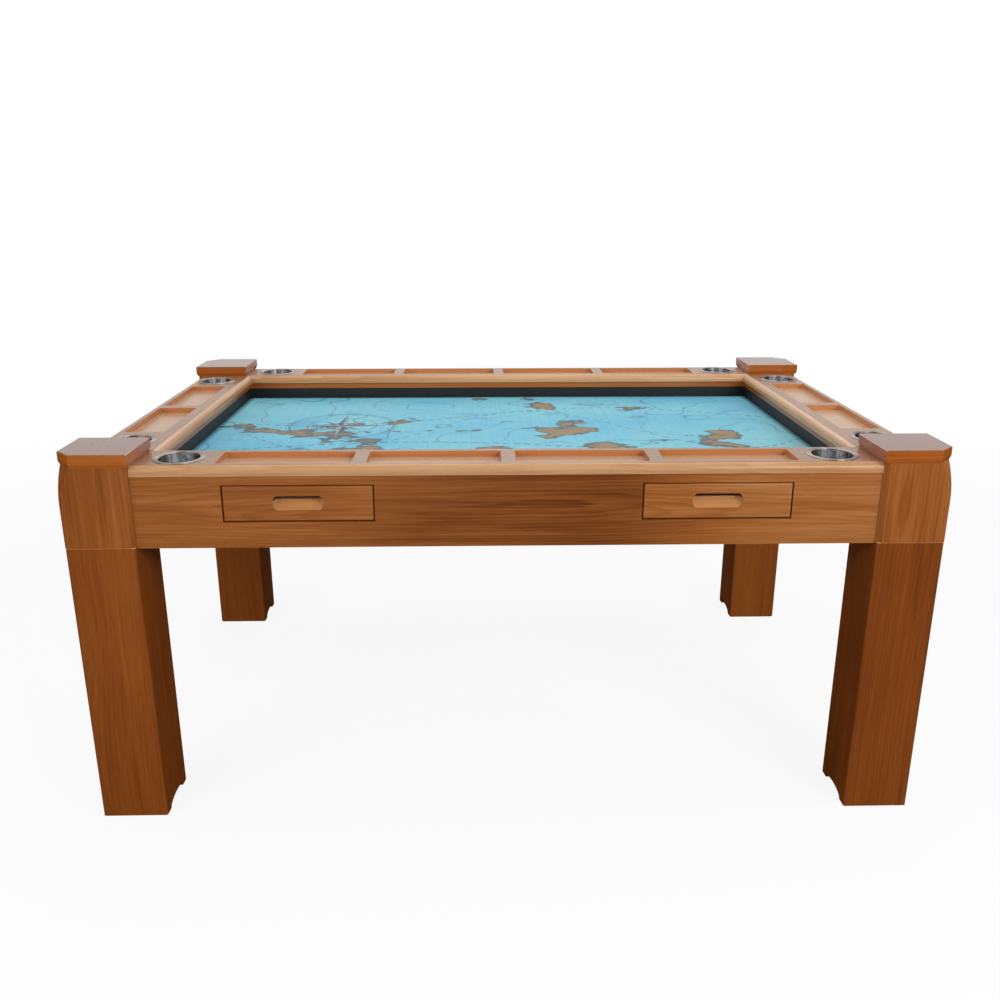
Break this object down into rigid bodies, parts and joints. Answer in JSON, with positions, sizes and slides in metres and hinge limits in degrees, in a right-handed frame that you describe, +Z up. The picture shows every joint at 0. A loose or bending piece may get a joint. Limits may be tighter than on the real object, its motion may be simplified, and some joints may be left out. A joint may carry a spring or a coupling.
{
  "type": "gaming table",
  "caption": "Solid wood gaming table with a sunken lined play field, tray and cup rails, capped corner blocks on square legs, and shallow apron drawers.",
  "frame": {"origin": "on the floor under the middle of the table, at the bottom centre of its box", "axes": "+X along the table's length, +Y from the drawer side to the far side, +Z up"},
  "size_m": [1.71, 1.11, 0.788],
  "materials": {
    "leg_wood": "satin lacquer over upright cherry-brown grain",
    "block_wood": "satin lacquer over upright cherry-brown grain",
    "cap_wood": "gloss lacquer",
    "apron_wood": "satin lacquer over long horizontal grain",
    "rail_wood": "gloss lacquer over long grain",
    "core_wood": "satin lacquer",
    "drawer_front_wood": "satin lacquer over horizontal grain",
    "carcass_wood": "bare planed softwood",
    "plywood": "bare birch plywood",
    "black_lining": "matt black stain",
    "printed_mat": "printed smooth cloth",
    "stainless": "polished stainless sheet",
    "zinc_steel": "zinc plated",
    "brass_insert": "turned",
    "felt": "dense dark felt"
  },
  "bodies": {
    "table": {"leg_front_left": "leg_wood", "leg_front_right": "leg_wood", "leg_back_left": "leg_wood", "leg_back_right": "leg_wood", "block_front_left": "block_wood", "block_front_right": "block_wood", "block_back_left": "block_wood", "block_back_right": "block_wood", "cap_front_left": "cap_wood", "cap_front_right": "cap_wood", "cap_back_left": "cap_wood", "cap_back_right": "cap_wood", "apron_front": "apron_wood", "apron_back": "apron_wood", "apron_left": "apron_wood", "apron_right": "apron_wood", "rail_front": "rail_wood", "rail_back": "rail_wood", "rail_left": "rail_wood", "rail_right": "rail_wood", "core_front": "core_wood", "core_back": "core_wood", "core_left": "core_wood", "core_right": "core_wood", "wall_front": "black_lining", "wall_back": "black_lining", "wall_left": "black_lining", "wall_right": "black_lining", "play_board": "plywood", "play_mat": "printed_mat", "board_bearers": "carcass_wood", "board_ledgers": "carcass_wood", "leg_bolts": "zinc_steel", "leg_washers": "zinc_steel", "leg_inserts": "brass_insert", "cap_dowels": "carcass_wood", "rail_screws": "zinc_steel", "foot_felts": "felt", "drawer_runners": "carcass_wood"},
    "drawer_left": {"drawer_left_front": "drawer_front_wood", "drawer_left_outer_side": "carcass_wood", "drawer_left_inner_side": "carcass_wood", "drawer_left_back": "carcass_wood", "drawer_left_bottom": "plywood"},
    "drawer_right": {"drawer_right_front": "drawer_front_wood", "drawer_right_outer_side": "carcass_wood", "drawer_right_inner_side": "carcass_wood", "drawer_right_back": "carcass_wood", "drawer_right_bottom": "plywood"},
    "cup_front_left": {"cup_front_left": "stainless"},
    "cup_front_right": {"cup_front_right": "stainless"},
    "cup_back_left": {"cup_back_left": "stainless"},
    "cup_back_right": {"cup_back_right": "stainless"},
    "cup_left_front": {"cup_left_front": "stainless"},
    "cup_left_back": {"cup_left_back": "stainless"},
    "cup_right_front": {"cup_right_front": "stainless"},
    "cup_right_back": {"cup_right_back": "stainless"}
  },
  "joints": [
    {"name": "drawer_left_slide", "type": "slide", "parent": "table", "child": "drawer_left", "axis": [0, -1, 0], "range_m": [0, 0.2]},
    {"name": "drawer_right_slide", "type": "slide", "parent": "table", "child": "drawer_right", "axis": [0, -1, 0], "range_m": [0, 0.2]},
    {"name": "cup_front_left_lift", "type": "slide", "parent": "table", "child": "cup_front_left", "axis": [0, 0, 1], "range_m": [0, 0.07]},
    {"name": "cup_front_right_lift", "type": "slide", "parent": "table", "child": "cup_front_right", "axis": [0, 0, 1], "range_m": [0, 0.07]},
    {"name": "cup_back_left_lift", "type": "slide", "parent": "table", "child": "cup_back_left", "axis": [0, 0, 1], "range_m": [0, 0.07]},
    {"name": "cup_back_right_lift", "type": "slide", "parent": "table", "child": "cup_back_right", "axis": [0, 0, 1], "range_m": [0, 0.07]},
    {"name": "cup_left_front_lift", "type": "slide", "parent": "table", "child": "cup_left_front", "axis": [0, 0, 1], "range_m": [0, 0.07]},
    {"name": "cup_left_back_lift", "type": "slide", "parent": "table", "child": "cup_left_back", "axis": [0, 0, 1], "range_m": [0, 0.07]},
    {"name": "cup_right_front_lift", "type": "slide", "parent": "table", "child": "cup_right_front", "axis": [0, 0, 1], "range_m": [0, 0.07]},
    {"name": "cup_right_back_lift", "type": "slide", "parent": "table", "child": "cup_right_back", "axis": [0, 0, 1], "range_m": [0, 0.07]}
  ]
}
